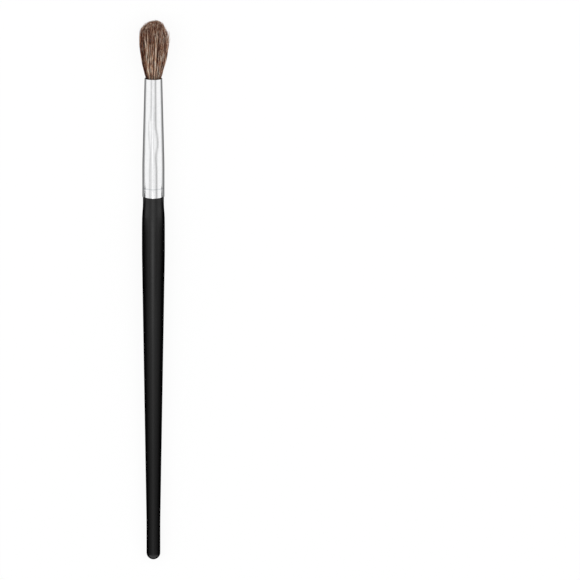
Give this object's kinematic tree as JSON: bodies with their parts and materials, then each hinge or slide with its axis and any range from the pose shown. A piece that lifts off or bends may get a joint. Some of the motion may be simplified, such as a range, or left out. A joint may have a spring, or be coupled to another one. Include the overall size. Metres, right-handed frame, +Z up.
{
  "type": "eyeshadow brush",
  "caption": "Slim eyeshadow brush lying on its side: domed natural-hair tuft, polished tapered metal ferrule and a long black lacquered wooden handle with a rounded tail.",
  "frame": {"origin": "middle of the brush's footprint, on the table top that the brush lies on", "axes": "+X runs along the brush towards the tuft, +Z is up from the table; the brush's own axis climbs towards the tuft by just under one degree, because the tail is thinner than the tuft, and the brush rests on those two"},
  "size_m": [0.175, 0.0096, 0.0094],
  "materials": {
    "lacquered_wood": "satin black lacquer over turned hardwood",
    "polished_aluminium": "drawn and polished, bright",
    "natural_hair": "soft natural hair, dark brown with paler strands",
    "cotton_thread": "plain twisted thread",
    "cured_resin": "clear amber, glossy",
    "wood_glue": "dried, dull"
  },
  "bodies": {
    "root": {"handle": "lacquered_wood", "ferrule": "polished_aluminium", "tenon_glue": "wood_glue", "root_plug": "cured_resin", "binding_thread": "cotton_thread", "hair_lock_centre": "natural_hair", "hair_locks_inner": "natural_hair", "hair_locks_middle": "natural_hair", "hair_locks_outer": "natural_hair"}
  },
  "joints": []
}
